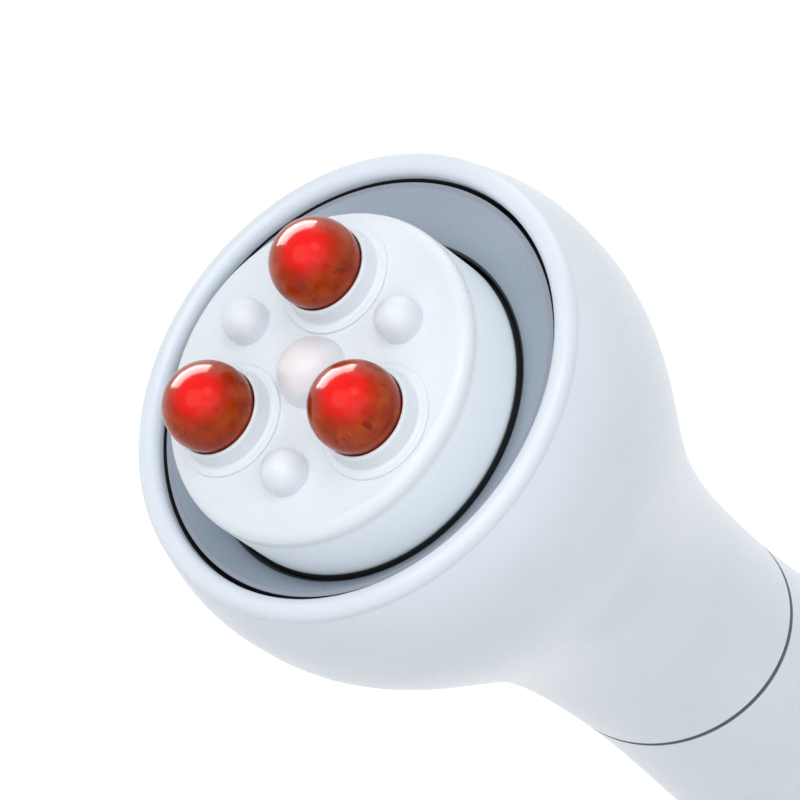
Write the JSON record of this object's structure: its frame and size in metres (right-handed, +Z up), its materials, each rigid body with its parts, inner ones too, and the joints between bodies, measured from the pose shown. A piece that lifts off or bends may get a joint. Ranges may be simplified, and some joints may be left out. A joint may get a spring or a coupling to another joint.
{
  "type": "hot stone massager",
  "caption": "Handheld cordless kneading massager: a bulb head with a turning drum and heated stone balls, on an oval handle with push buttons.",
  "frame": {"origin": "middle of the flat base that the massager stands on, on the axis of handle and bulb", "axes": "+Z up the handle to the head, -Y the front with the buttons (the drum leans to it), +X to the right seen from the front"},
  "size_m": [0.0844, 0.0844, 0.2347],
  "materials": {
    "white_shell": "satin moulded white, lightly glossy",
    "white_drum": "satin moulded white",
    "ring_grey": "blue-grey satin",
    "stone_red": "polished, banded red-brown",
    "seal_dark": "dark soft ring",
    "pad_grey": "soft matte pad",
    "panel_grey": "glossy inlay",
    "button_white": "satin key",
    "lens_clear": "frosted light bar",
    "steel": "plain steel",
    "bronze": "sintered bronze",
    "track_metal": "plated contact metal",
    "gear_plastic": "natural acetal",
    "frame_plastic": "dark filled nylon",
    "board_green": "circuit board",
    "cell_wrap": "shrink wrap",
    "lead_red": "wire insulation",
    "heater_white": "ceramic heating disc",
    "diode_white": "light-emitting diode"
  },
  "bodies": {
    "housing": {"front_cowl": "white_shell", "rear_housing": "white_shell", "handle_shell": "white_shell", "tail_cap": "white_shell", "bezel_ring": "ring_grey", "cowl_screws": "steel", "brush_block": "frame_plastic", "brush_pins": "track_metal", "shaft_bush": "bronze", "gearbox_case": "frame_plastic", "ring_gear": "gear_plastic", "gearbox_cover": "frame_plastic", "gearbox_screws": "steel", "drive_motor": "steel", "motor_screws": "steel", "motor_leads": "lead_red", "neck_coupler": "frame_plastic", "waist_seal": "seal_dark", "control_panel": "panel_grey", "indicator_lens": "lens_clear", "indicator_diodes": "diode_white", "tact_switches": "frame_plastic", "main_board": "board_green", "board_screws": "steel", "battery_tray": "frame_plastic", "battery_cells": "cell_wrap", "battery_leads": "lead_red", "charge_board": "board_green", "charge_port": "steel", "port_tongue": "frame_plastic", "tail_screws": "steel", "base_pad": "pad_grey"},
    "drum": {"kneading_drum": "white_drum", "hot_stone_1": "stone_red", "hot_stone_2": "stone_red", "hot_stone_3": "stone_red", "stone_heaters": "heater_white", "heater_leads": "lead_red", "drum_carrier": "frame_plastic", "drum_screws": "steel", "slip_ring": "board_green", "slip_tracks": "track_metal", "output_shaft": "steel", "shaft_spacer": "gear_plastic", "planet_carrier": "steel", "planet_pins": "steel"},
    "planet_1": {"planet_gear_1": "gear_plastic"},
    "planet_2": {"planet_gear_2": "gear_plastic"},
    "planet_3": {"planet_gear_3": "gear_plastic"},
    "rotor": {"sun_pinion": "bronze", "motor_shaft": "steel"},
    "power_key": {"power_button": "button_white", "power_plunger": "frame_plastic"},
    "heat_key": {"heat_button": "button_white", "heat_plunger": "frame_plastic"},
    "speed_key": {"speed_button": "button_white", "speed_plunger": "frame_plastic"}
  },
  "joints": [
    {"name": "drum_spin", "type": "hinge", "parent": "housing", "child": "drum", "pos_m": [0, -0.00249, 0.21196], "axis": [0, -0.0349, 0.9994], "continuous": true},
    {"name": "planet_1_spin", "type": "hinge", "parent": "drum", "child": "planet_1", "pos_m": [0, 0.00921, 0.18655], "axis": [0, -0.0349, 0.9994], "continuous": true},
    {"name": "planet_2_spin", "type": "hinge", "parent": "drum", "child": "planet_2", "pos_m": [-0.00935, -0.00698, 0.18598], "axis": [0, -0.0349, 0.9994], "continuous": true},
    {"name": "planet_3_spin", "type": "hinge", "parent": "drum", "child": "planet_3", "pos_m": [0.00935, -0.00698, 0.18598], "axis": [0, -0.0349, 0.9994], "continuous": true},
    {"name": "rotor_spin", "type": "hinge", "parent": "housing", "child": "rotor", "pos_m": [0, -0.00159, 0.18617], "axis": [0, -0.0349, 0.9994], "continuous": true},
    {"name": "power_press", "type": "slide", "parent": "housing", "child": "power_key", "axis": [0, 1, 0], "range_m": [0, 0.0006], "stiffness_N_per_m": 500, "springref_m": -0.0004},
    {"name": "heat_press", "type": "slide", "parent": "housing", "child": "heat_key", "axis": [0, 1, 0], "range_m": [0, 0.0006], "stiffness_N_per_m": 500, "springref_m": -0.0004},
    {"name": "speed_press", "type": "slide", "parent": "housing", "child": "speed_key", "axis": [0, 1, 0], "range_m": [0, 0.0006], "stiffness_N_per_m": 500, "springref_m": -0.0004}
  ],
  "couplings": [
    {"joint": "planet_1_spin", "follows": "drum_spin", "ratio": -2.5},
    {"joint": "planet_2_spin", "follows": "drum_spin", "ratio": -2.5},
    {"joint": "planet_3_spin", "follows": "drum_spin", "ratio": -2.5},
    {"joint": "rotor_spin", "follows": "drum_spin", "ratio": 6}
  ]
}
